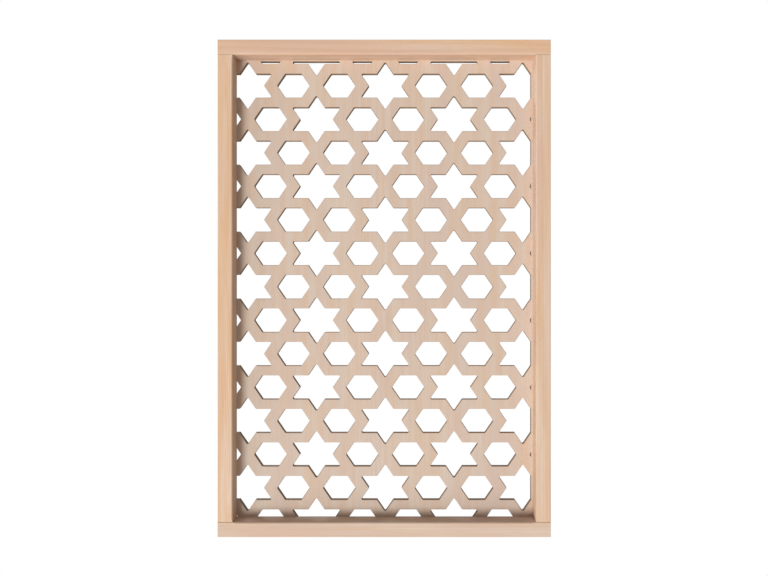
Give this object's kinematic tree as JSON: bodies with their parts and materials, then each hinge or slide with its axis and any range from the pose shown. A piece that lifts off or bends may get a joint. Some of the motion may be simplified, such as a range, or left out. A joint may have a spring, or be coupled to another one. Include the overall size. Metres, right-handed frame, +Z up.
{
  "type": "mashrabiya screen",
  "caption": "Rectangular wooden lattice screen, pierced with rows of six-pointed stars and hexagons and held in a plain rebated frame, to be fixed to a wall or into an opening.",
  "frame": {"origin": "middle of the top rail's back face, where the screen is fixed to the wall", "axes": "+X to the right seen from the front, +Y from the front towards the wall behind, +Z up"},
  "size_m": [0.6, 0.045, 0.896],
  "materials": {
    "frame_wood": "planed and sanded pale pinkish wood, satin",
    "lattice_wood": "sanded pale pinkish wood, satin, with darker cut edges"
  },
  "bodies": {
    "root": {"lattice_panel": "lattice_wood", "top_rail": "frame_wood", "bottom_rail": "frame_wood", "left_stile": "frame_wood", "right_stile": "frame_wood"}
  },
  "joints": []
}
